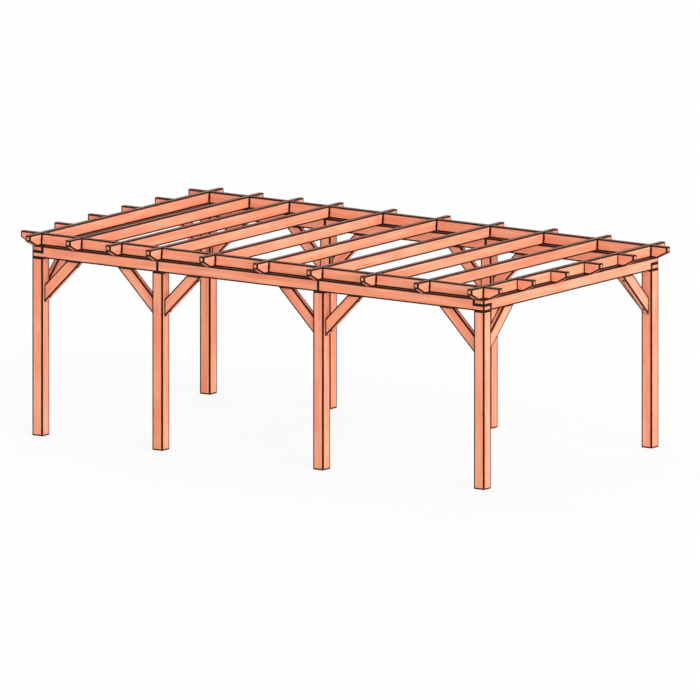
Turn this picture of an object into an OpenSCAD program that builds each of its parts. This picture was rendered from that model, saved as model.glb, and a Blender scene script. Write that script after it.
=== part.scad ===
// Open-rafter patio cover in heavy timber. Two rows of square posts carry ring beams that are
// half-lapped at the corners. Rafters cross a rim on each long side in halved joints, and every
// end of the roof grid runs out as a shaped tail. Knee braces stiffen each post at its head.

/* [Layout] */
// Width of the narrow left bay, between post centres
narrow_bay = 1780; // [1400:5:2400]
// Width of each wide bay, between post centres
wide_bay = 2385; // [1800:5:3000]
// Depth between the front and back rows of posts, centre to centre
row_gap = 3550; // [2600:10:4600]
// Clear height from the ground to the underside of the beams
head_height = 2200; // [1900:10:2700]

/* [Posts and beams] */
// Side of a square post
post_side = 150; // [120:5:200]
// Width of a beam
beam_width = 150; // [110:5:200]
// Depth of a beam
beam_depth = 150; // [120:5:220]
// Height of the lower cheek where two beams lap at a corner
corner_lap = 75; // [40:1:100]

/* [Rafters, rims and tails] */
// Thickness of a rafter, rim or tail
joist_thick = 70; // [45:1:95]
// Depth of a rafter, rim or tail
joist_depth = 150; // [120:5:200]
// Reach of the tails past the outer faces of the beams
overhang = 200; // [160:5:300]
// Height of the blunt end of a tail
tail_nose = 75; // [40:1:110]
// Run of the slanted cut under a tail
tail_slope = 145; // [60:1:180]
// Depth of the notches in a rim where the rafters cross it
rim_notch = 75; // [40:1:100]
// Side play of a rafter and a rim in each other's notches
notch_play = 0.5; // [0.2:0.1:1.5]

/* [Braces] */
// Length of a brace along the post and along the beam
brace_leg = 550; // [420:10:700]
// Depth of a brace, square to its length
brace_depth = 150; // [90:5:180]
// Thickness of a brace
brace_thick = 70; // [45:1:95]
// Diameter of the counterbores for the screws in a brace
screw_bore = 22; // [16:1:30]
// Distance from the post or beam to the mouth of a counterbore, along its axis
bore_mouth = 70; // [50:1:110]
// Wood left between a screw head and the post or beam
bore_floor = 30; // [20:1:45]

/* [Hidden] */
$fn = 48;
timber = [0.94, 0.62, 0.48];
// Overlap of a cutting shape past the face that it cuts
cut_over = 1;
// Spaces between rafters in each bay, and separate tails on each short end
rafter_spaces = 3;
tails_per_end = 4;

// Places of the posts, rows and rafters, from the centre of the plan
half_span = (narrow_bay + 2 * wide_bay) / 2;
half_gap = row_gap / 2;
post_x = [-half_span, -half_span + narrow_bay, half_span - wide_bay, half_span];
bays = len(post_x) - 1;
rafter_x = [for (i = [0 : bays * rafter_spaces])
    let (bay = min(floor(i / rafter_spaces), bays - 1))
    post_x[bay] + (post_x[bay + 1] - post_x[bay]) * (i - bay * rafter_spaces) / rafter_spaces];
tail_y = [for (k = [1 : tails_per_end]) row_gap * (k / (tails_per_end + 1) - 1 / 2)];

// Outer faces of the beams, levels of the roof and lengths of what lies on the beams
beam_face_x = half_span + beam_width / 2;
beam_face_y = half_gap + beam_width / 2;
beam_top = head_height + beam_depth;
rim_length = 2 * (beam_face_x + overhang);
rafter_length = 2 * (beam_face_y + overhang);
tail_reach = beam_face_x + overhang - half_span - joist_thick / 2;

// Widths of the notches, and of the cuts that run out through both faces of a beam or a joist
notch_width = joist_thick + 2 * notch_play;
cut_width = beam_width + 2 * cut_over;
cut_thick = joist_thick + 2 * cut_over;

// Length of a brace's square-cut depth along the post and the beam
brace_cheek = brace_depth * sqrt(2);

// Names of the two rows with the side of the plan that each stands on, and of the two ends
ROWS = [["front", -1], ["back", 1]];
ENDS = [["left", -1], ["right", 1]];
// Braces along a row: the post that each stands at, counted from 0, and the way that it leans
ROW_BRACES = [[0, "right"], [1, "left"], [1, "right"], [2, "left"], [2, "right"], [3, "left"]];

function row_brace_name(row, brace) = str(row[0], "_brace_", brace[0] + 1, "_", brace[1]);

// A square post from the ground to the underside of the beams
module post(x, y) {
    color(timber)
        translate([x - post_side / 2, y - post_side / 2, 0])
            cube([post_side, post_side, head_height]);
}

// A stretch of long beam over one bay, with its upper cheek cut away where an end beam laps it
module long_beam(bay, y) {
    start = bay == 1 ? -beam_face_x : post_x[bay - 1];
    stop = bay == bays ? beam_face_x : post_x[bay];
    color(timber)
        difference() {
            translate([start, y - beam_width / 2, head_height])
                cube([stop - start, beam_width, beam_depth]);
            for (side = [-1, 1])
                translate([side * half_span - beam_width / 2, y - cut_width / 2, head_height + corner_lap])
                    cube([beam_width, cut_width, beam_depth]);
        }
}

// A short beam across one end, with its lower cheek cut away where it laps the long beams
module end_beam(x) {
    color(timber)
        difference() {
            translate([x - beam_width / 2, -beam_face_y, head_height])
                cube([beam_width, 2 * beam_face_y, beam_depth]);
            for (side = [-1, 1])
                translate([x - cut_width / 2, side * half_gap - beam_width / 2, head_height - cut_over])
                    cube([cut_width, beam_width, corner_lap + cut_over]);
        }
}

// A knee brace in the corner under a beam: the post face is at x = 0 and the beam at z = 0
module brace_blank() {
    rotate([90, 0, 0])
        linear_extrude(height = brace_thick, center = true)
            polygon([
                [0, -brace_leg],
                [brace_leg, 0],
                [brace_leg - brace_cheek, 0],
                [0, brace_cheek - brace_leg]
            ]);
}

// A counterbore along +Z, from the seat of the screw head out through the slanted lower face
module counterbore() {
    cylinder(d = screw_bore, h = bore_mouth - bore_floor + screw_bore);
}

// A brace with a counterbore square to the post and one square to the beam
module brace(x, y, turn) {
    color(timber)
        translate([x, y, head_height])
            rotate([0, 0, turn])
                translate([post_side / 2, 0, 0])
                    difference() {
                        brace_blank();
                        translate([bore_floor, 0, bore_mouth - brace_leg])
                            rotate([0, 90, 0])
                                counterbore();
                        translate([brace_leg - bore_mouth, 0, -bore_floor])
                            rotate([180, 0, 0])
                                counterbore();
                    }
}

// Outline points of one shaped tail, from the foot of its slanted cut up round its blunt end
function tail_points(reach) = [
    [reach - tail_slope, 0],
    [reach, joist_depth - tail_nose],
    [reach, joist_depth]
];

// The same points for the other end of a timber, in the order that closes its outline
function far_tail_points(reach) =
    let (points = tail_points(reach))
    [for (i = [len(points) - 1 : -1 : 0]) [-points[i][0], points[i][1]]];

// A timber along X in its side outline, standing on z = 0
module joist(outline) {
    rotate([90, 0, 0])
        linear_extrude(height = joist_thick, center = true)
            polygon(outline);
}

// A timber with a shaped tail at both ends
module tailed_joist(length) {
    joist(concat(tail_points(length / 2), far_tail_points(length / 2)));
}

// A rim over a long beam, notched from above for every rafter
module rim(y) {
    color(timber)
        translate([0, y, beam_top])
            difference() {
                tailed_joist(rim_length);
                for (x = rafter_x)
                    translate([x - notch_width / 2, -cut_thick / 2, joist_depth - rim_notch])
                        cube([notch_width, cut_thick, rim_notch + cut_over]);
            }
}

// A rafter across both long beams, notched from below to drop over the rims
module rafter(x) {
    color(timber)
        translate([x, 0, beam_top])
            rotate([0, 0, 90])
                difference() {
                    tailed_joist(rafter_length);
                    for (side = [-1, 1])
                        translate([side * half_gap - notch_width / 2, -cut_thick / 2, -cut_over])
                            cube([notch_width, cut_thick, joist_depth - rim_notch + cut_over]);
                }
}

// The short tails that stand on the end beams, against the outer faces of the end rafters
module end_tails() {
    color(timber)
        for (turn = [0, 180], y = tail_y)
            rotate([0, 0, turn])
                translate([half_span + joist_thick / 2, y, beam_top])
                    joist(concat([[0, joist_depth], [0, 0]], tail_points(tail_reach)));
}

for (row = ROWS) {
    y = row[1] * half_gap;
    for (i = [0 : bays])
        post(post_x[i], y);
    for (i = [1 : bays])
        long_beam(i, y);
    for (lean = ROW_BRACES)
        brace(post_x[lean[0]], y, lean[1] == "right" ? 0 : 180);
    for (end = ENDS)
        brace(end[1] * half_span, y, -90 * row[1]);
    rim(y);
}
for (end = ENDS)
    end_beam(end[1] * half_span);
for (i = [1 : len(rafter_x)])
    rafter(rafter_x[i - 1]);
end_tails();
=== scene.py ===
"""Looks of an open timber patio cover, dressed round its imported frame.

Every timber of the frame is replaced by a planed one of the same size and place, with dark eased arrises,
grain that runs along it and end grain on its cut ends. Hex-headed screws sit in the counterbores of the
knee braces.
"""

import logging
import math
import random
from dataclasses import dataclass, field
from enum import Enum

import bmesh
import bpy
from bmesh.types import BMEdge, BMesh, BMFace, BMVert
from bpy.types import Material, Mesh, Node, NodeTree, Object, World
from mathutils import Color, Matrix, Vector


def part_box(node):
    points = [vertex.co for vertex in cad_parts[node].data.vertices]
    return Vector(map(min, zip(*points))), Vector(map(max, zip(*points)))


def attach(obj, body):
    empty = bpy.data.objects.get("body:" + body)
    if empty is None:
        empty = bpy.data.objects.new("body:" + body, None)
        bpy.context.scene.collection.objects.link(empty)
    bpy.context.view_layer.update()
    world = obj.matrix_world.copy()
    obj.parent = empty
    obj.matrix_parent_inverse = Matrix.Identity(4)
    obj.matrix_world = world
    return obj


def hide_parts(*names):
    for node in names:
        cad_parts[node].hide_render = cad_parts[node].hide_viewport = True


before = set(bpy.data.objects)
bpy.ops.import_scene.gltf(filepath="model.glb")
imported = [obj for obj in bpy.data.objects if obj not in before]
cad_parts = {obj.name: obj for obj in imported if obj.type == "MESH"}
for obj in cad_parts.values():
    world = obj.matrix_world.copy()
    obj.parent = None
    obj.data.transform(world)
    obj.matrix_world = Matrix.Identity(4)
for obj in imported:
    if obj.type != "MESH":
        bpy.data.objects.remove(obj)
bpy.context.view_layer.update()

BODY = "root"

LOG = logging.getLogger("patio_cover")

Colour = tuple[float, float, float, float]
Outline = list[tuple[float, float]]
Span = tuple[float, float]
Socket = bpy.types.NodeSocket

ALONG_X = Vector((1.0, 0.0, 0.0))
ALONG_Y = Vector((0.0, 1.0, 0.0))
ALONG_Z = Vector((0.0, 0.0, 1.0))

WHITE: Colour = (1.0, 1.0, 1.0, 1.0)
# Level of full white on a screen
SCREEN_WHITE = 255
# Middle level of a noise
MIDDLE = 0.5
# Facets of a rounded edge
EASE_SEGMENTS = 2


def linear(red: int, green: int, blue: int) -> Colour:
    """Turns a colour as it is seen on screen into the linear values that a shader takes.

    Args:
        red: Red from 0 to 255.
        green: Green from 0 to 255.
        blue: Blue from 0 to 255.

    Returns:
        The linear colour, with full opacity.
    """
    seen = Color((red, green, blue)) / SCREEN_WHITE
    return (*seen.from_srgb_to_scene_linear(), 1.0)


def nodes_with(word: str) -> list[str]:
    """Lists the frame's nodes whose names hold a word."""
    return sorted(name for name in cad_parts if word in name)


class Slot(Enum):
    """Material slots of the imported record."""

    POST = "post_timber"
    BEAM = "beam_timber"
    BRACE = "brace_timber"
    ROOF = "roof_timber"
    SCREW = "screw_steel"


class Mark(Enum):
    """Attributes that a timber's mesh carries for its finish."""

    GRAIN = "grain"
    ARRIS = "arris"
    ENDGRAIN = "endgrain"
    SKY = "sky"
    TONE = "tone"


class Effect(Enum):
    """Shader node groups that the timber finishes share."""

    GRAIN = "log grain"
    WEAR = "arris wear"
    # Painted shade on the tops: the faces that look up are darkened
    TOP_SHADE = "painted top shade"


class Lean(Enum):
    """Direction in which a brace leaves its post, by the last word of its node's name."""

    RIGHT = (1.0, 0.0, 0.0)
    LEFT = (-1.0, 0.0, 0.0)
    FRONT = (0.0, 1.0, 0.0)
    BACK = (0.0, -1.0, 0.0)


# Shader graphs


class ShaderGraph:
    """A node tree with short calls for placing and joining its nodes."""

    def __init__(self, tree: NodeTree) -> None:
        """Takes the tree that the calls work on."""
        self.tree = tree

    def add(self, kind: str, inputs: dict[str | int, object] | None = None, **settings: object) -> Node:
        """Places a node.

        Args:
            kind: The node's type without its ShaderNode prefix.
            inputs: Output or plain value for each of its inputs, by name or by number.
            **settings: Properties to set on the node.

        Returns:
            The new node.
        """
        node = self.tree.nodes.new(kind if kind.startswith("NodeGroup") else "ShaderNode" + kind)
        for name, value in settings.items():
            setattr(node, name, value)
        for key, value in (inputs or {}).items():
            self.feed(node.inputs[key], value)
        return node

    def feed(self, socket: Socket, value: object) -> None:
        """Links an output to an input socket, or sets the socket to a plain value.

        Args:
            socket: The input socket.
            value: Output, number, vector or colour.
        """
        if isinstance(value, Socket):
            self.tree.links.new(value, socket)
        else:
            socket.default_value = value

    def math(self, operation: str, *values: object, clamp: bool = False) -> Socket:
        """Works out a value from outputs or numbers."""
        return self.add("Math", dict(enumerate(values)), operation=operation, use_clamp=clamp).outputs[0]

    def vector(self, operation: str, *values: object) -> Node:
        """Places a Vector Math node that is fed with outputs or vectors."""
        return self.add("VectorMath", dict(enumerate(values)), operation=operation)

    def combined(self, *values: object) -> Socket:
        """Joins outputs or numbers in a vector."""
        return self.add("CombineXYZ", dict(enumerate(values))).outputs[0]

    def scaled(self, vector: Socket, factors: tuple[float, float, float]) -> Socket:
        """Multiplies a vector by a factor for each axis."""
        return self.vector("MULTIPLY", vector, factors).outputs[0]

    def noise(self, vector: Socket, detail: float, roughness: float) -> Node:
        """Places a Noise Texture at a scale of 1, so that its vector sets the size of its features."""
        inputs = {"Vector": vector, "Scale": 1.0, "Detail": detail, "Roughness": roughness}
        return self.add("TexNoise", inputs)

    def mix(self, factor: object, first: object, second: object, blend: str = "MIX") -> Socket:
        """Blends two colours.

        Args:
            factor: Output or number that weighs the second colour.
            first: First colour.
            second: Second colour.
            blend: The node's blend type.

        Returns:
            The blended colour.
        """
        node = self.add("Mix", {"Factor": factor}, data_type="RGBA", blend_type=blend)
        colours = [socket for socket in node.inputs if socket.type == "RGBA"]
        self.feed(colours[0], first)
        self.feed(colours[1], second)
        return next(socket for socket in node.outputs if socket.type == "RGBA")

    def attribute(self, mark: Mark, output: str = "Fac") -> Socket:
        """Reads one of the timber's own attributes."""
        return self.add("Attribute", attribute_name=mark.value).outputs[output]

    def effect(self, tree: NodeTree, inputs: dict[str, object]) -> Node:
        """Places a node group and feeds its named inputs."""
        return self.add("Group", inputs, node_tree=tree)

    def show(self, shader: Node, output: str = "OutputMaterial") -> None:
        """Joins a shader to the tree's output."""
        self.feed(self.add(output).inputs["Surface"], shader.outputs[0])


def start_group(
    effect: Effect, inputs: dict[str, str], outputs: list[str]
) -> tuple[ShaderGraph, bpy.types.NodeOutputs]:
    """Starts a shader node group.

    Args:
        effect: The effect that the group makes.
        inputs: Name of each input with its kind, Vector or Float.
        outputs: Names of the outputs, all single values.

    Returns:
        The group's graph, and what it is given.
    """
    tree = bpy.data.node_groups.new(effect.value, "ShaderNodeTree")
    for label, kind in inputs.items():
        tree.interface.new_socket(label, in_out="INPUT", socket_type="NodeSocket" + kind)
    for label in outputs:
        tree.interface.new_socket(label, in_out="OUTPUT", socket_type="NodeSocketFloat")
    graph = ShaderGraph(tree)
    return graph, graph.add("NodeGroupInput").outputs


def empty_graph(owner: Material | World) -> ShaderGraph:
    """Empties the node tree of a material or a world.

    Args:
        owner: The material or world.

    Returns:
        The graph of its tree.
    """
    owner.use_nodes = True
    owner.node_tree.nodes.clear()
    return ShaderGraph(owner.node_tree)


def start_material(name: str) -> tuple[Material, ShaderGraph]:
    """Starts a material and gives its empty graph with it."""
    material = bpy.data.materials.new(name)
    return material, empty_graph(material)


@dataclass(frozen=True)
class Step:
    """A smooth step: where it starts and stops, and its results before and after."""

    start: float
    stop: float
    before: float = 0.0
    after: float = 1.0

    def place(self, graph: ShaderGraph, value: Socket) -> Socket:
        """Places the step in a graph.

        Args:
            graph: The graph.
            value: Output to be stepped.

        Returns:
            The step's output.
        """
        inputs = {"Value": value, "From Min": self.start, "From Max": self.stop}
        inputs |= {"To Min": self.before, "To Max": self.after}
        return graph.add("MapRange", inputs, interpolation_type="SMOOTHSTEP").outputs["Result"]


@dataclass(frozen=True)
class Streaks:
    """A noise drawn out along the grain: features per metre along it and across it, and its finer layers."""

    along: float
    across: float
    detail: float = 2.0
    roughness: float = 0.5

    def place(self, graph: ShaderGraph, grain: Socket) -> Node:
        """Places the noise on a timber's grain coordinates."""
        place = graph.scaled(grain, (self.along, self.across, self.across))
        return graph.noise(place, self.detail, self.roughness)

    def value(self, graph: ShaderGraph, grain: Socket) -> Socket:
        """Places the noise and gives its single value."""
        return self.place(graph, grain).outputs[0]


@dataclass(frozen=True)
class Crack:
    """Thin cracks along the middle level of a noise, only where a second noise is past a threshold."""

    width: float
    threshold: float
    fade: float = 0.08

    def draw(self, graph: ShaderGraph, level: Socket, rarity: Socket) -> Socket:
        """Draws the cracks.

        Args:
            graph: The group's graph.
            level: Noise whose middle level the cracks follow.
            rarity: Noise that leaves most cracks out.

        Returns:
            The cracks' mask.
        """
        away = graph.math("ABSOLUTE", graph.math("SUBTRACT", level, MIDDLE))
        line = Step(0.0, self.width, 1.0, 0.0).place(graph, away)
        kept = Step(self.threshold, self.threshold + self.fade).place(graph, rarity)
        return graph.math("MULTIPLY", line, kept)


# Effects


@dataclass(frozen=True)
class LogGrain:
    """Growth rings of a log that a timber's faces cut, with streaks, fibres and checks that follow them."""

    sway: float = 0.030
    sway_noise: Streaks = Streaks(0.7, 4.0)
    ring_jitter: float = 0.6
    jitter_noise: Streaks = Streaks(2.0, 40.0, 1.0)
    ring_rise: Step = Step(0.30, 0.88)
    ring_fall: Step = Step(0.92, 1.0, 1.0, 0.0)
    year_strength: Step = Step(0.0, 1.0, 0.4, 1.0)
    bands_across: float = 26.0
    bands_along: float = 0.95
    band_detail: float = 3.0
    band_roughness: float = 0.55
    fibre: Streaks = Streaks(16.0, 420.0, 2.0, 0.6)
    figure: Streaks = Streaks(3.2, 5.0, 1.5)
    face_check: Crack = Crack(0.010, 0.63)
    face_split: Streaks = Streaks(0.55, 30.0, 1.0)
    face_rarity: Streaks = Streaks(1.1, 7.0, 0.0)
    end_check: Crack = Crack(0.05, 0.52)
    end_rays: float = 24.0
    end_ray_breaks: float = 9.0
    end_ray_detail: float = 1.0
    end_ray_roughness: float = 0.5
    end_rarity: Streaks = Streaks(0.3, 18.0, 0.0)

    def build(self) -> NodeTree:
        """Builds the group.

        Returns:
            The group's tree.
        """
        graph, given = start_group(
            Effect.GRAIN,
            {"Grain": "Vector", "Ring Width": "Float"},
            ["Late", "Band", "Fibre", "Figure", "Face Check", "End Check"],
        )
        grain = given["Grain"]
        along, side, rise = graph.add("SeparateXYZ", {0: grain}).outputs
        radius = self.radius(graph, grain)
        turns = graph.math("DIVIDE", radius, given["Ring Width"])
        turns = graph.math("MULTIPLY_ADD", self.jitter_noise.value(graph, grain), self.ring_jitter, turns)
        streak = graph.combined(
            graph.math("MULTIPLY", radius, self.bands_across),
            graph.math("MULTIPLY", along, self.bands_along),
        )
        spoke = graph.combined(
            graph.math("MULTIPLY", graph.math("ARCTAN2", rise, side), self.end_rays),
            graph.math("MULTIPLY", radius, self.end_ray_breaks),
            along,
        )
        ray = graph.noise(spoke, self.end_ray_detail, self.end_ray_roughness).outputs[0]
        split = self.face_split.value(graph, grain)
        graph.add("NodeGroupOutput", {
            "Late": self.late_wood(graph, turns),
            "Band": graph.noise(streak, self.band_detail, self.band_roughness).outputs[0],
            "Fibre": self.fibre.value(graph, grain),
            "Figure": self.figure.value(graph, grain),
            "Face Check": self.face_check.draw(graph, split, self.face_rarity.value(graph, grain)),
            "End Check": self.end_check.draw(graph, ray, self.end_rarity.value(graph, grain)),
        })
        return graph.tree

    def radius(self, graph: ShaderGraph, grain: Socket) -> Socket:
        """Measures the distance from the log's pith, which sways along the timber.

        Args:
            graph: The group's graph.
            grain: The timber's grain coordinates.

        Returns:
            The distance in metres.
        """
        noise = self.sway_noise.place(graph, grain).outputs["Color"]
        lean = graph.vector("SUBTRACT", noise, (MIDDLE, MIDDLE, MIDDLE)).outputs[0]
        shift = graph.scaled(lean, (0.0, self.sway, self.sway))
        swayed = graph.vector("ADD", graph.scaled(grain, (0.0, 1.0, 1.0)), shift)
        return graph.vector("LENGTH", swayed.outputs[0]).outputs["Value"]

    def late_wood(self, graph: ShaderGraph, turns: Socket) -> Socket:
        """Draws the darker late wood at the end of each year's ring, stronger in some years.

        Args:
            graph: The group's graph.
            turns: Number of rings from the pith.

        Returns:
            The late wood's mask.
        """
        phase = graph.math("FRACT", turns)
        late = graph.math("MULTIPLY", self.ring_rise.place(graph, phase), self.ring_fall.place(graph, phase))
        year = graph.add("TexWhiteNoise", {"W": graph.math("FLOOR", turns)}, noise_dimensions="1D")
        return graph.math("MULTIPLY", late, self.year_strength.place(graph, year.outputs["Value"]))


@dataclass(frozen=True)
class ArrisWear:
    """Dark stain along the arrises, the joint lines and the counterbores' mouths, with an uneven border."""

    uneven: Streaks = Streaks(9.0, 60.0, 4.0, 0.65)
    line: Step = Step(0.03, 0.28)
    line_wander: float = 0.4
    line_thinning: Step = Step(0.25, 0.70, 1.0, 0.97)
    soak: Step = Step(0.0, 1.0, 0.0, 0.40)
    soak_wander: float = 0.9

    def build(self) -> NodeTree:
        """Builds the group.

        Returns:
            The group's tree.
        """
        graph, given = start_group(Effect.WEAR, {"Grain": "Vector", "Arris": "Float"}, ["Mask"])
        arris = given["Arris"]
        rough = self.uneven.value(graph, given["Grain"])
        shift = graph.math("SUBTRACT", rough, MIDDLE)
        line = self.line.place(graph, graph.math("MULTIPLY_ADD", shift, self.line_wander, arris))
        line = graph.math("MULTIPLY", line, self.line_thinning.place(graph, rough))
        soaked = self.soak.place(graph, graph.math("MULTIPLY_ADD", shift, self.soak_wander, arris))
        graph.add("NodeGroupOutput", {"Mask": graph.math("MAXIMUM", line, soaked)})
        return graph.tree


@dataclass(frozen=True)
class TopShade:
    """Painted shade on the faces that look up: a dark mask over them, streaked along the grain."""

    streaks: Streaks = Streaks(1.6, 45.0, 3.0, 0.6)
    streak_share: Step = Step(0.25, 0.75, 0.72, 1.0)
    level_only: Step = Step(0.80, 0.98)

    def build(self) -> NodeTree:
        """Builds the group.

        Returns:
            The group's tree.
        """
        graph, given = start_group(Effect.TOP_SHADE, {"Grain": "Vector", "Sky": "Float"}, ["Mask"])
        # Painted shade: the mask is strongest on level faces that look straight up
        share = self.streak_share.place(graph, self.streaks.value(graph, given["Grain"]))
        level = self.level_only.place(graph, given["Sky"])
        graph.add("NodeGroupOutput", {"Mask": graph.math("MULTIPLY", level, share)})
        return graph.tree


# Finishes


@dataclass(frozen=True)
class TimberFinish:
    """Planed, oiled softwood with dark arrises, and a painted shade of dark brown on its tops."""

    slot: Slot
    ring_width: float
    pale: Colour = linear(250, 176, 142)
    deep: Colour = linear(245, 145, 112)
    late: Colour = linear(226, 118, 84)
    flush: Colour = linear(244, 138, 110)
    cut_end: Colour = linear(226, 138, 104)
    # Painted shade colour for the faces that look up
    top_shade_colour: Colour = linear(98, 68, 50)
    edge: Colour = linear(24, 13, 9)
    late_share: float = 0.55
    check_share: float = 0.50
    flush_share: float = 0.45
    end_share: float = 0.35
    top_shade_share: float = 0.90
    band_step: Step = Step(0.30, 0.70)
    flush_step: Step = Step(0.52, 0.78)
    on_ends: Step = Step(0.6, 0.9)
    on_sides: Step = Step(0.2, 0.6, 1.0, 0.0)
    roughness: float = 0.52
    fibre_roughness: float = 0.22
    top_roughness: float = 0.20
    specular: float = 0.12
    late_relief: float = 0.8
    check_relief: float = -3.0
    bump_strength: float = 0.5
    bump_height: float = 0.0006

    def material(self, effects: dict[Effect, NodeTree]) -> Material:
        """Builds the finish.

        Args:
            effects: Node groups that the finish uses.

        Returns:
            The material.
        """
        material, graph = start_material(self.slot.value)
        grain = graph.attribute(Mark.GRAIN, "Vector")
        log = graph.effect(effects[Effect.GRAIN], {"Grain": grain, "Ring Width": self.ring_width})
        wear = graph.effect(effects[Effect.WEAR], {"Grain": grain, "Arris": graph.attribute(Mark.ARRIS)})
        top_shade_effect = graph.effect(effects[Effect.TOP_SHADE], {"Grain": grain, "Sky": graph.attribute(Mark.SKY)})
        check = self.checks(graph, log)
        # Painted shade: the faces that look up are mixed towards a dark brown, and made rougher there
        top_shade_mask = graph.math("MULTIPLY", top_shade_effect.outputs["Mask"], self.top_shade_share)

        colour = self.wood(graph, log)
        colour = graph.mix(graph.math("MULTIPLY", check, self.check_share), colour, self.edge)
        colour = graph.mix(top_shade_mask, colour, self.top_shade_colour)
        colour = graph.mix(wear.outputs["Mask"], colour, self.edge)
        rough = graph.math("MULTIPLY_ADD", log.outputs["Fibre"], self.fibre_roughness, self.roughness)
        rough = graph.math("MULTIPLY_ADD", top_shade_mask, self.top_roughness, rough, clamp=True)
        inputs = {"Base Color": colour, "Roughness": rough, "Specular IOR Level": self.specular}
        inputs["Normal"] = self.relief(graph, log, check)
        graph.show(graph.add("BsdfPrincipled", inputs))
        return material

    def wood(self, graph: ShaderGraph, log: Node) -> Socket:
        """Colours the clean wood.

        Args:
            graph: The material's graph.
            log: The log grain.

        Returns:
            The colour.
        """
        colour = graph.mix(self.band_step.place(graph, log.outputs["Band"]), self.pale, self.deep)
        colour = graph.mix(graph.math("MULTIPLY", log.outputs["Late"], self.late_share), colour, self.late)
        flush = graph.math("MULTIPLY", self.flush_step.place(graph, log.outputs["Figure"]), self.flush_share)
        colour = graph.mix(flush, colour, self.flush)
        end = graph.math("MULTIPLY", graph.attribute(Mark.ENDGRAIN), self.end_share)
        colour = graph.mix(end, colour, self.cut_end)
        tone = graph.attribute(Mark.TONE)
        return graph.mix(1.0, colour, graph.combined(tone, tone, tone), "MULTIPLY")

    def checks(self, graph: ShaderGraph, log: Node) -> Socket:
        """Draws the drying checks, in rays on the ends and along the sides.

        Args:
            graph: The material's graph.
            log: The log grain.

        Returns:
            The checks' mask.
        """
        cut = graph.attribute(Mark.ENDGRAIN)
        ends = graph.math("MULTIPLY", log.outputs["End Check"], self.on_ends.place(graph, cut))
        sides = graph.math("MULTIPLY", log.outputs["Face Check"], self.on_sides.place(graph, cut))
        return graph.math("MAXIMUM", ends, sides)

    def relief(self, graph: ShaderGraph, log: Node, check: Socket) -> Socket:
        """Raises the fibres and the late wood and sinks the checks.

        Args:
            graph: The material's graph.
            log: The log grain.
            check: The checks' mask.

        Returns:
            The bumped normal.
        """
        height = graph.math("MULTIPLY_ADD", log.outputs["Late"], self.late_relief, log.outputs["Fibre"])
        height = graph.math("MULTIPLY_ADD", check, self.check_relief, height)
        inputs = {"Strength": self.bump_strength, "Distance": self.bump_height, "Height": height}
        return graph.add("Bump", inputs).outputs[0]


@dataclass(frozen=True)
class SteelFinish:
    """Zinc-plated screw steel with faint stains."""

    slot: Slot = Slot.SCREW
    bright: Colour = linear(172, 168, 160)
    dull: Colour = linear(112, 104, 94)
    stains_per_metre: float = 260.0
    stain_detail: float = 3.0
    stain_roughness: float = 0.6
    stain_step: Step = Step(0.35, 0.70)
    gloss_step: Step = Step(0.3, 0.8, 0.32, 0.6)

    def material(self) -> Material:
        """Builds the finish.

        Returns:
            The material.
        """
        material, graph = start_material(self.slot.value)
        scale = self.stains_per_metre
        place = graph.scaled(graph.add("TexCoord").outputs["Object"], (scale, scale, scale))
        stain = graph.noise(place, self.stain_detail, self.stain_roughness).outputs[0]
        colour = graph.mix(self.stain_step.place(graph, stain), self.bright, self.dull)
        rough = self.gloss_step.place(graph, stain)
        graph.show(graph.add("BsdfPrincipled", {"Base Color": colour, "Roughness": rough, "Metallic": 1.0}))
        return material


# Meshes and objects


def finished_mesh(name: str, shape: BMesh) -> Mesh:
    """Turns a bmesh into a mesh and frees it.

    Args:
        name: The mesh's name.
        shape: The bmesh.

    Returns:
        The mesh.
    """
    mesh = bpy.data.meshes.new(name)
    shape.to_mesh(mesh)
    shape.free()
    return mesh


def add_object(name: str, data: bpy.types.ID) -> Object:
    """Makes an object and links it to the scene.

    Args:
        name: The object's name.
        data: Its mesh, lamp or camera.

    Returns:
        The object.
    """
    thing = bpy.data.objects.new(name, data)
    bpy.context.scene.collection.objects.link(thing)
    return thing


def of_kind(items: list, kind: type) -> list:
    """Picks the vertices, edges or faces from what a bmesh operator gives back."""
    return [item for item in items if isinstance(item, kind)]


def add_drum(shape: BMesh, sides: int, radius: float, height: float, place: Matrix) -> list[BMVert]:
    """Adds a closed drum to a bmesh.

    Args:
        shape: The bmesh.
        sides: Sides of the drum.
        radius: Radius to its corners.
        height: Its height.
        place: Place and turn of its middle.

    Returns:
        The drum's vertices.
    """
    made = bmesh.ops.create_cone(
        shape, cap_ends=True, segments=sides, radius1=radius, radius2=radius, depth=height, matrix=place
    )
    return made["verts"]


def ease_edges(shape: BMesh, edges: list[BMEdge], width: float) -> list[BMFace]:
    """Rounds edges over.

    Args:
        shape: The bmesh that holds the edges.
        edges: The edges.
        width: Width of the rounding on each face.

    Returns:
        The new round faces.
    """
    eased = bmesh.ops.bevel(
        shape, geom=edges, offset=width, offset_type="OFFSET", affect="EDGES", segments=EASE_SEGMENTS,
        profile=0.5, material=-1, clamp_overlap=True,
    )
    return eased["faces"]


# Timbers


@dataclass(frozen=True)
class Counterbore:
    """A round counterbore: the middle of its mouth, its way in, its depth there and its radius."""

    mouth: Vector
    inward: Vector
    depth: float
    radius: float

    def seat(self) -> Vector:
        """Middle of its flat floor."""
        return self.mouth + self.inward * self.depth


@dataclass(frozen=True)
class Seam:
    """A joint line across a timber's sides, where another one stands against them: its run and its top."""

    run: float
    top: float


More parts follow.
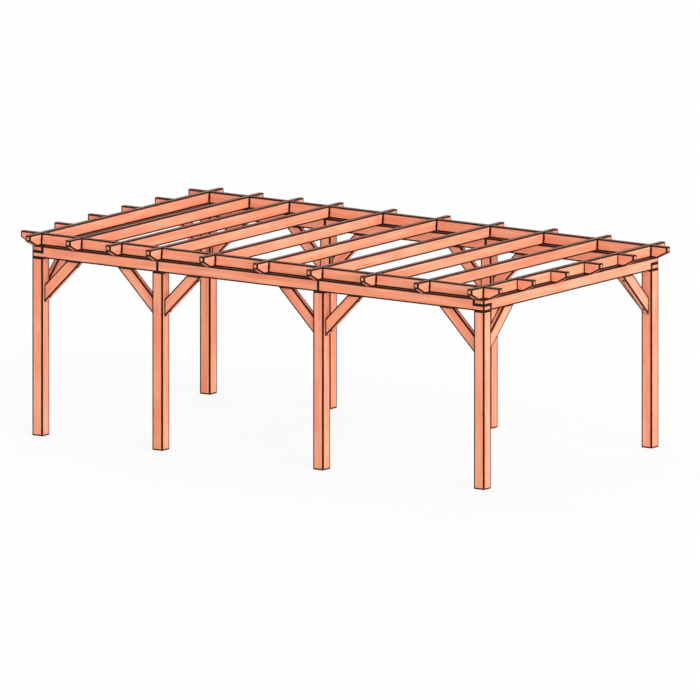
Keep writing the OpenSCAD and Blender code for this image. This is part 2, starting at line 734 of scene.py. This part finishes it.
@dataclass
class Timber:
    """One timber: a side outline in its own plane, with a thickness across it."""

    name: str
    origin: Vector
    along: Vector
    up: Vector
    outline: Outline
    thickness: float
    grain_axis: Vector
    bores: list[Counterbore] = field(default_factory=list)
    seams: list[Seam] = field(default_factory=list)
    ease: float = 0.005
    border: float = 0.0165
    bored_border: float = 0.011
    bore_sides: int = 24
    bore_stain: float = 0.004
    bore_ring: float = 0.003
    touch: float = 0.00001
    log_start: Span = (0.0, 40.0)
    pith_reach: Span = (0.11, 0.24)
    tone: Span = (0.97, 1.02)

    def across(self) -> Vector:
        """Direction of the thickness."""
        return self.along.cross(self.up)

    def build(self) -> BMesh:
        """Models the timber with eased arrises and marks it for its finish.

        Returns:
            The timber's bmesh, in the part's frame.
        """
        shape = self.blank()
        flats = self.ease_arrises(shape)
        bored = self.bored_faces(flats)
        for face in flats:
            border = self.bored_border if face in bored else self.border
            bmesh.ops.inset_individual(shape, faces=[face], thickness=border, use_even_offset=True)
        inner = {vert for face in flats for vert in face.verts}
        for face in bored:
            inner |= self.drill(shape, face)
        bmesh.ops.recalc_face_normals(shape, faces=shape.faces)
        self.mark(shape, inner)
        for seam in self.seams:
            self.score(shape, seam)
        return shape

    def blank(self) -> BMesh:
        """Draws the outline out to the timber's thickness.

        Returns:
            The sharp-edged timber, with empty layers for its marks.
        """
        shape = bmesh.new()
        for mark in (Mark.ARRIS, Mark.TONE):
            shape.verts.layers.float.new(mark.value)
        for mark in (Mark.ENDGRAIN, Mark.SKY):
            shape.faces.layers.float.new(mark.value)
        shape.verts.layers.float_vector.new(Mark.GRAIN.value)
        across = self.across()
        start = self.origin - across * (self.thickness / 2)
        corners = [shape.verts.new(start + self.along * run + self.up * rise) for run, rise in self.outline]
        grown = bmesh.ops.extrude_face_region(shape, geom=[shape.faces.new(corners)])
        far_side = of_kind(grown["geom"], BMVert)
        bmesh.ops.translate(shape, verts=far_side, vec=across * self.thickness)
        bmesh.ops.recalc_face_normals(shape, faces=shape.faces)
        return shape

    def ease_arrises(self, shape: BMesh) -> list[BMFace]:
        """Eases every outer arris.

        Args:
            shape: The sharp-edged timber.

        Returns:
            The flat faces that are left between the arrises.
        """
        round_faces = set(ease_edges(shape, [edge for edge in shape.edges if edge.is_convex], self.ease))
        for face in round_faces:
            face.smooth = True
        return [face for face in shape.faces if face not in round_faces]

    def bored_faces(self, flats: list[BMFace]) -> list[BMFace]:
        """Picks the flat face that the counterbores open in, if there are any."""
        inward = sum((bore.inward for bore in self.bores), Vector())
        return [min(flats, key=lambda flat: flat.normal.dot(inward))] if self.bores else []

    def drill(self, shape: BMesh, face: BMFace) -> set[BMVert]:
        """Sinks the counterbores into the flat face that their mouths lie on.

        Args:
            shape: The timber's bmesh.
            face: Inner part of the flat face.

        Returns:
            The new vertices that lie on the face, away from the mouths.
        """
        outward = face.normal.copy()
        loops = list(face.edges)
        bmesh.ops.delete(shape, geom=[face], context="FACES_ONLY")
        ring_verts = set()
        for bore in self.bores:
            ring = self.sink(shape, bore, outward)
            loops += ring
            ring_verts.update(vert for edge in ring for vert in edge.verts)
        bmesh.ops.triangle_fill(shape, edges=loops, use_beauty=True, normal=outward)
        return ring_verts

    def sink(self, shape: BMesh, bore: Counterbore, outward: Vector) -> list[BMEdge]:
        """Adds one counterbore as a tube that the timber's face trims, with flat rings round its mouth.

        Args:
            shape: The timber's bmesh.
            bore: The counterbore.
            outward: Normal of the face that it opens in.

        Returns:
            The outer edges of the rings.
        """
        # Long enough to pass the slanted face all round
        length = bore.depth + 2 * bore.radius
        middle = bore.seat() - bore.inward * (length / 2)
        turned = bore.inward.to_track_quat("Z", "Y").to_matrix().to_4x4()
        tube = add_drum(shape, self.bore_sides, bore.radius, length, Matrix.Translation(middle) @ turned)
        walls = {face for vert in tube for face in vert.link_faces}
        arrises = {edge for vert in tube for edge in vert.link_edges}
        for wall in walls:
            wall.smooth = len(wall.verts) < self.bore_sides
        cut = bmesh.ops.bisect_plane(
            shape,
            geom=list(walls) + list(arrises) + tube,
            plane_co=bore.mouth,
            plane_no=outward,
            clear_outer=True,
        )
        ring = of_kind(cut["geom_cut"], BMEdge)
        reach = bore.radius
        for width in (self.bore_stain, self.bore_ring):
            grown = bmesh.ops.extrude_edge_only(shape, edges=ring)["geom"]
            outer = of_kind(grown, BMVert)
            spread = Vector.Fill(3, 1.0 + width / reach)
            bmesh.ops.scale(shape, verts=outer, vec=spread, space=Matrix.Translation(-bore.mouth))
            ring = [edge for edge in of_kind(grown, BMEdge) if set(outer).issuperset(edge.verts)]
            reach += width
        return ring

    def mark(self, shape: BMesh, inner: set[BMVert]) -> None:
        """Writes the attributes that the finish reads.

        Args:
            shape: The timber's bmesh.
            inner: Vertices on the flat faces, clear of the stained arrises and mouths.
        """
        draw = random.Random(self.name)
        across = self.across()
        side = self.grain_axis.cross(across)
        turn = draw.uniform(0.0, math.tau)
        reach = draw.uniform(*self.pith_reach)
        pith = Vector((draw.uniform(*self.log_start), reach * math.cos(turn), reach * math.sin(turn)))
        tone = draw.uniform(*self.tone)
        grain = shape.verts.layers.float_vector[Mark.GRAIN.value]
        arris = shape.verts.layers.float[Mark.ARRIS.value]
        tones = shape.verts.layers.float[Mark.TONE.value]
        endgrain = shape.faces.layers.float[Mark.ENDGRAIN.value]
        sky = shape.faces.layers.float[Mark.SKY.value]
        for vert in shape.verts:
            place = vert.co - self.origin
            vert[grain] = Vector((place.dot(self.grain_axis), place.dot(across), place.dot(side))) + pith
            vert[arris] = 0.0 if vert in inner else 1.0
            vert[tones] = tone
        for face in shape.faces:
            face[endgrain] = abs(face.normal.dot(self.grain_axis))
            face[sky] = max(0.0, face.normal.z)

    def score(self, shape: BMesh, seam: Seam) -> None:
        """Cuts a joint line across the timber, with a border on each side, and marks it like an arris.

        Args:
            shape: The timber's bmesh, already marked.
            seam: The joint line.
        """
        arris = shape.verts.layers.float[Mark.ARRIS.value]
        for shift in (-self.border, self.border, 0.0):
            cut = bmesh.ops.bisect_plane(
                shape,
                geom=shape.verts[:] + shape.edges[:] + shape.faces[:],
                dist=self.touch,
                plane_co=self.origin + self.along * (seam.run + shift),
                plane_no=self.along,
            )
        for vert in of_kind(cut["geom_cut"], BMVert):
            if (vert.co - self.origin).dot(self.up) < seam.top:
                vert[arris] = 1.0


def level_timber(node: str, along: Vector, outline: Outline, seams: list[Seam]) -> Timber:
    """Describes a level timber whose outline stands upright in the middle of its node.

    Args:
        node: The timber's node.
        along: Direction of its length.
        outline: Its side outline, from its lower end.
        seams: Joint lines on its sides.

    Returns:
        The timber.
    """
    low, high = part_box(node)
    across = Vector(map(abs, along.cross(ALONG_Z)))
    thickness = (high - low).dot(across)
    origin = low + across * (thickness / 2)
    return Timber(node, origin, along, ALONG_Z, outline, thickness, along, seams=seams)


def joined(shapes: list[BMesh]) -> BMesh:
    """Puts several bmeshes in one and frees them.

    Args:
        shapes: The bmeshes.

    Returns:
        The joined bmesh.
    """
    whole = bmesh.new()
    for shape in shapes:
        spare = finished_mesh("spare", shape)
        whole.from_mesh(spare)
        bpy.data.meshes.remove(spare)
    return whole


def add_piece(name: str, shape: BMesh, material: Material, nodes: list[str]) -> None:
    """Makes an object of a bmesh and ties it to the frame.

    Args:
        name: The piece's name.
        shape: Its bmesh in the part's frame, which is freed.
        material: Its finish.
        nodes: Nodes that the piece stands for.
    """
    mesh = finished_mesh(name, shape)
    mesh.materials.append(material)
    piece = add_object(name, mesh)
    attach(piece, BODY)
    if nodes:
        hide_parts(*nodes)
    LOG.info("%s: %d faces", name, len(mesh.polygons))


# Sub-assemblies


@dataclass
class TimberSet:
    """A sub-assembly of timbers with one finish."""

    slot: Slot

    def timbers(self) -> dict[str, list[Timber]]:
        """Describes the timbers that stand for each node."""
        raise NotImplementedError

    def build(self, material: Material) -> None:
        """Models the timbers of each node as one piece and dresses them.

        Args:
            material: The finish of the set.
        """
        for node, timbers in self.timbers().items():
            shape = joined([timber.build() for timber in timbers])
            add_piece(f"{node}_timber", shape, material, [node])


@dataclass
class Posts(TimberSet):
    """The square posts of both rows, standing on the ground."""

    slot: Slot = Slot.POST

    def timbers(self) -> dict[str, list[Timber]]:
        """Describes every post."""
        return {node: [self.post(node)] for node in nodes_with("_post_")}

    def post(self, node: str) -> Timber:
        """Describes one post.

        Args:
            node: The post's node.

        Returns:
            The post.
        """
        low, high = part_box(node)
        size = high - low
        outline = [(0.0, 0.0), (size.z, 0.0), (size.z, size.x), (0.0, size.x)]
        origin = low + ALONG_Y * (size.y / 2)
        return Timber(node, origin, ALONG_Z, ALONG_X, outline, size.y, ALONG_Z)


@dataclass
class Beams(TimberSet):
    """The ring of beams: long ones butted over the inner posts, end ones lapped over their corners."""

    slot: Slot = Slot.BEAM
    lap: float = 0.075

    def timbers(self) -> dict[str, list[Timber]]:
        """Describes every beam."""
        long_beams = {node: [self.long_beam(node)] for node in nodes_with("_beam_")}
        return long_beams | {node: [self.end_beam(node)] for node in nodes_with("_end_beam")}

    def long_beam(self, node: str) -> Timber:
        """Describes a stretch of long beam, with its upper cheek cut away where an end beam laps it.

        Args:
            node: The beam's node.

        Returns:
            The beam.
        """
        low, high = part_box(node)
        size = high - low
        left_start, left_stop = (corner.x - low.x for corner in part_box("left_end_beam"))
        right_start, right_stop = (corner.x - low.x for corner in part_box("right_end_beam"))
        outline = [(0.0, 0.0), (size.x, 0.0)]
        if right_start < size.x:
            outline += [(right_stop, self.lap), (right_start, self.lap), (right_start, size.z)]
        else:
            outline += [(size.x, size.z)]
        if left_stop > 0.0:
            outline += [(left_stop, size.z), (left_stop, self.lap), (left_start, self.lap)]
        else:
            outline += [(0.0, size.z)]
        return level_timber(node, ALONG_X, outline, [])

    def end_beam(self, node: str) -> Timber:
        """Describes an end beam with its lower cheeks cut away at both ends.

        Args:
            node: The beam's node.

        Returns:
            The beam.
        """
        low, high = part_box(node)
        size = high - low
        near, far = size.x, size.y - size.x
        outline = [
            (0.0, self.lap), (near, self.lap), (near, 0.0), (far, 0.0),
            (far, self.lap), (size.y, self.lap), (size.y, size.z), (0.0, size.z),
        ]
        return level_timber(node, ALONG_Y, outline, [])


@dataclass
class RoofGrid(TimberSet):
    """Rafters and rims, halved over each other, and the short tails on the ends."""

    slot: Slot = Slot.ROOF
    tail_nose: float = 0.075
    tail_slope: float = 0.145
    notch_depth: float = 0.075
    notch_play: float = 0.0005
    seam_top: float = 0.145
    tails_per_end: int = 4

    def timbers(self) -> dict[str, list[Timber]]:
        """Describes the rims, the rafters and the tails.

        Returns:
            The timbers that stand for each node.
        """
        grid = {node: [self.rim(node)] for node in nodes_with("_rim")}
        grid |= {node: [self.rafter(node)] for node in nodes_with("rafter_")}
        return grid | {node: self.end_tails(node) for node in nodes_with("end_tails")}

    def tail(self, reach: float, rise: float) -> Outline:
        """Outline points of one shaped tail, from the foot of its slanted cut up to its blunt end."""
        return [(reach - self.tail_slope, 0.0), (reach, rise - self.tail_nose)]

    def rim(self, node: str) -> Timber:
        """Describes a rim, notched from above for every rafter."""
        return self.halved(node, ALONG_X, "rafter_", from_above=True)

    def rafter(self, node: str) -> Timber:
        """Describes a rafter, notched from below over both rims."""
        return self.halved(node, ALONG_Y, "_rim", from_above=False)

    def halved(self, node: str, along: Vector, crossing: str, from_above: bool) -> Timber:
        """Describes a timber with shaped ends that is notched where others cross it.

        Args:
            node: The timber's node.
            along: Direction of its length.
            crossing: Word in the names of the nodes that cross it.
            from_above: Whether its notches are cut from above.

        Returns:
            The timber.
        """
        low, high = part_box(node)
        reach, rise = (high - low).dot(along), high.z - low.z
        half = rise - self.notch_depth
        edge, seam_top = (rise, half) if from_above else (0.0, self.seam_top)
        boxes = map(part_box, nodes_with(crossing))
        notches, seams = [], []
        for start, stop in sorted(((near - low).dot(along), (far - low).dot(along)) for near, far in boxes):
            near, far = start - self.notch_play, stop + self.notch_play
            notches += [(near, edge), (near, half), (far, half), (far, edge)]
            seams += [Seam(start, seam_top), Seam(stop, seam_top)]
        lower = [(0.0, rise - self.tail_nose), (self.tail_slope, 0.0)]
        upper = [(reach, rise)]
        if from_above:
            upper += reversed(notches)
        else:
            lower += notches
        outline = lower + self.tail(reach, rise) + upper + [(0.0, rise)]
        return level_timber(node, along, outline, seams)

    def end_tails(self, node: str) -> list[Timber]:
        """Describes the short tails against the outer faces of the end rafters.

        Args:
            node: The node of all the tails.

        Returns:
            The tails.
        """
        low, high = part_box(node)
        front_low, front_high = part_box("front_rim")
        back_low, back_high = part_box("back_rim")
        front = (front_low.y + front_high.y) / 2
        spacing = ((back_low.y + back_high.y) / 2 - front) / (self.tails_per_end + 1)
        thickness = front_high.y - front_low.y
        rise = high.z - low.z
        left, right = "rafter_1", f"rafter_{len(nodes_with('rafter_'))}"
        tails = []
        for rafter, out, root, tip in (
            (left, -ALONG_X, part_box(left)[0].x, low.x), (right, ALONG_X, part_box(right)[1].x, high.x)
        ):
            reach = abs(tip - root)
            outline = [(0.0, 0.0)] + self.tail(reach, rise) + [(reach, rise), (0.0, rise)]
            for index in range(1, self.tails_per_end + 1):
                origin = Vector((root, front + spacing * index, low.z))
                name = f"{node}_{rafter}_{index}"
                tails.append(Timber(name, origin, out, ALONG_Z, outline, thickness, out))
        return tails


@dataclass
class KneeBraces(TimberSet):
    """Knee braces between the posts and the beams, each with two counterbores for its screws."""

    slot: Slot = Slot.BRACE
    depth: float = 0.150
    bore_mouth: float = 0.070
    bore_floor: float = 0.030
    bore_radius: float = 0.011

    def timbers(self) -> dict[str, list[Timber]]:
        """Describes every brace."""
        return {node: [self.brace(node)] for node in nodes_with("_brace_")}

    def out(self, node: str) -> Vector:
        """Direction in which a brace leaves its post."""
        return Vector(Lean[node.rsplit("_", 1)[1].upper()].value)

    def corner(self, node: str) -> Vector:
        """Finds the corner between a brace's post and beam, in the middle of the brace's thickness.

        Args:
            node: The brace's node.

        Returns:
            The corner.
        """
        low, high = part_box(node)
        out = self.out(node)
        middle = (low + high) / 2
        reach = abs(((high - low) / 2).dot(out))
        return Vector((middle.x, middle.y, high.z)) - out * reach

    def brace(self, node: str) -> Timber:
        """Describes one brace.

        Args:
            node: The brace's node.

        Returns:
            The brace.
        """
        low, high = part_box(node)
        out = self.out(node)
        leg = high.z - low.z
        cheek = self.depth * math.sqrt(2.0)
        thickness = min(high.x - low.x, high.y - low.y)
        outline = [(0.0, -leg), (leg, 0.0), (leg - cheek, 0.0), (0.0, cheek - leg)]
        slant = (out + ALONG_Z).normalized()
        bores = self.counterbores(node)
        return Timber(node, self.corner(node), out, ALONG_Z, outline, thickness, slant, bores)

    def counterbores(self, node: str) -> list[Counterbore]:
        """Places the counterbores of one brace.

        Args:
            node: The brace's node.

        Returns:
            The counterbore square to the post and the one square to the beam.
        """
        low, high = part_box(node)
        out = self.out(node)
        corner = self.corner(node)
        far = high.z - low.z - self.bore_mouth
        deep = self.bore_mouth - self.bore_floor
        at_post = corner + out * self.bore_mouth - ALONG_Z * far
        at_beam = corner + out * far - ALONG_Z * self.bore_mouth
        return [
            Counterbore(at_post, -out, deep, self.bore_radius),
            Counterbore(at_beam, ALONG_Z, deep, self.bore_radius),
        ]


@dataclass
class BraceScrews:
    """A hex-headed screw on a washer, at the bottom of every counterbore in the braces."""

    braces: KneeBraces
    slot: Slot = Slot.SCREW
    washer_radius: float = 0.0100
    washer_height: float = 0.0020
    collar_radius: float = 0.0068
    collar_height: float = 0.0006
    head_radius: float = 0.0075
    head_height: float = 0.0055
    soften: float = 0.0007
    soften_share: float = 1 / 3
    round_sides: int = 28
    hex_sides: int = 6

    def drum(self, shape: BMesh, sides: int, radius: float, low: float, height: float) -> None:
        """Adds a short drum on the screw's axis, with its top edge softened.

        Args:
            shape: The screw's bmesh.
            sides: Sides of the drum.
            radius: Radius to its corners.
            low: Height of its foot over the seat.
            height: Its own height.
        """
        middle = low + height / 2
        made = add_drum(shape, sides, radius, height, Matrix.Translation((0.0, 0.0, middle)))
        top = {vert for vert in made if vert.co.z > middle}
        rim = {edge for vert in top for edge in vert.link_edges if top.issuperset(edge.verts)}
        ease_edges(shape, list(rim), min(self.soften, height * self.soften_share))

    def screw(self) -> BMesh:
        """Models one screw head on its washer, standing on the seat.

        Returns:
            The screw's bmesh.
        """
        shape = bmesh.new()
        head_low = self.washer_height + self.collar_height
        self.drum(shape, self.round_sides, self.washer_radius, 0.0, self.washer_height)
        self.drum(shape, self.round_sides, self.collar_radius, self.washer_height, self.collar_height)
        self.drum(shape, self.hex_sides, self.head_radius, head_low, self.head_height)
        return shape

    def build(self, material: Material) -> None:
        """Sets a screw in every counterbore, all in one piece, and dresses them.

        Args:
            material: The screws' finish.
        """
        draw = random.Random("brace_screws")
        master = self.screw()
        screws = []
        for node in self.braces.timbers():
            for bore in self.braces.counterbores(node):
                screw = master.copy()
                spin = Matrix.Rotation(draw.uniform(0.0, math.tau), 4, "Z")
                turned = (-bore.inward).to_track_quat("Z", "Y").to_matrix().to_4x4()
                place = Matrix.Translation(bore.seat()) @ turned @ spin
                bmesh.ops.transform(screw, matrix=place, verts=screw.verts)
                screws.append(screw)
        master.free()
        add_piece("brace_screws", joined(screws), material, [])


# Stage


@dataclass(frozen=True)
class Lamp:
    """A broad, distant lamp: its strength, how wide it looks and the direction that it stands in."""

    name: str
    strength: float
    width: float
    towards: tuple[float, float, float]

    def build(self) -> None:
        """Hangs the lamp."""
        data = bpy.data.lights.new(self.name, "SUN")
        data.energy = self.strength
        data.angle = self.width
        lamp = add_object(self.name, data)
        lamp.rotation_euler = Vector(self.towards).to_track_quat("Z", "Y").to_euler()


@dataclass
class Stage:
    """Pale floor, soft light and the camera at the drawing's viewing angle."""

    floor_half: float = 70.0
    floor_colour: Colour = (0.86, 0.86, 0.86, 1.0)
    floor_white: float = 0.80
    sky_strength: float = 0.53
    backdrop: float = 0.992
    lamps: tuple[Lamp, ...] = (
        Lamp("soft key", 2.65, math.radians(60.0), (0.90, -0.24, 0.36)),
        Lamp("soft fill", 0.30, math.radians(60.0), (0.00, -0.85, 0.50)),
        Lamp("soft back light", 1.50, math.radians(70.0), (-0.62, 0.62, 0.48)),
    )
    azimuth: float = math.radians(35.0)
    elevation: float = math.radians(10.0)
    picture_px: float = 700.0
    metres_per_px: float = 0.01215
    centre_right_px: float = 4.6
    centre_up_px: float = 91.1
    camera_distance: float = 40.0
    clip_end: float = 200.0

    def build(self) -> None:
        """Sets up the floor, the light and the camera."""
        self.build_floor()
        self.build_sky()
        for lamp in self.lamps:
            lamp.build()
        self.build_camera()

    def white_rays(self, graph: ShaderGraph) -> Socket:
        """Picks the rays that should meet a white background: those of the camera, mirrors and glass.

        Args:
            graph: The graph of the floor or the sky.

        Returns:
            The rays' mask.
        """
        path = graph.add("LightPath")
        seen = graph.math("MAXIMUM", path.outputs["Is Camera Ray"], path.outputs["Is Glossy Ray"])
        return graph.math("MAXIMUM", seen, path.outputs["Is Transmission Ray"])

    def build_floor(self) -> None:
        """Lays a plain pale floor that keeps the shadow."""
        shape = bmesh.new()
        bmesh.ops.create_grid(shape, x_segments=1, y_segments=1, size=self.floor_half)
        floor = add_object("floor", finished_mesh("floor", shape))
        material, graph = start_material("floor")
        matt = graph.add("BsdfDiffuse", {"Color": self.floor_colour}).outputs[0]
        white = graph.add("Emission").outputs[0]
        share = graph.math("MULTIPLY", self.white_rays(graph), self.floor_white)
        graph.show(graph.add("MixShader", {0: share, 1: matt, 2: white}))
        floor.data.materials.append(material)

    def build_sky(self) -> None:
        """Makes an even pale sky that looks white to the camera."""
        world = bpy.data.worlds.new("sky")
        graph = empty_graph(world)
        lift = self.backdrop - self.sky_strength
        strength = graph.math("MULTIPLY_ADD", self.white_rays(graph), lift, self.sky_strength)
        sky = graph.add("Background", {"Color": WHITE, "Strength": strength})
        graph.show(sky, "OutputWorld")
        bpy.context.scene.world = world

    def build_camera(self) -> None:
        """Sets a parallel-projection camera so that the picture has the drawing's scale and framing."""
        turn, tilt = self.azimuth, self.elevation
        right = Vector((math.cos(turn), math.sin(turn), 0.0))
        back = Vector((math.sin(turn) * math.cos(tilt), -math.cos(turn) * math.cos(tilt), math.sin(tilt)))
        up = back.cross(right)
        aim = (right * self.centre_right_px + up * self.centre_up_px) * self.metres_per_px
        data = bpy.data.cameras.new("camera")
        data.type = "ORTHO"
        data.ortho_scale = self.picture_px * self.metres_per_px
        data.clip_end = self.clip_end
        camera = add_object("camera", data)
        camera.location = aim + back * self.camera_distance
        camera.rotation_euler = back.to_track_quat("Z", "Y").to_euler()
        bpy.context.scene.camera = camera


def main() -> None:
    """Builds the stage and every sub-assembly in order."""
    logging.basicConfig(level=logging.INFO, format="%(name)s: %(message)s")
    bpy.context.scene.view_settings.view_transform = "Standard"
    Stage().build()
    effects = {
        Effect.GRAIN: LogGrain().build(),
        Effect.WEAR: ArrisWear().build(),
        Effect.TOP_SHADE: TopShade().build(),
    }
    finishes = [
        TimberFinish(Slot.POST, ring_width=0.0042),
        TimberFinish(Slot.BEAM, ring_width=0.0045),
        TimberFinish(Slot.BRACE, ring_width=0.0036),
        TimberFinish(Slot.ROOF, ring_width=0.0034),
    ]
    materials = {finish.slot: finish.material(effects) for finish in finishes}
    braces = KneeBraces()
    for timber_set in (Posts(), Beams(), braces, RoofGrid()):
        timber_set.build(materials[timber_set.slot])
    BraceScrews(braces).build(SteelFinish().material())


if __name__ == "__main__":
    main()
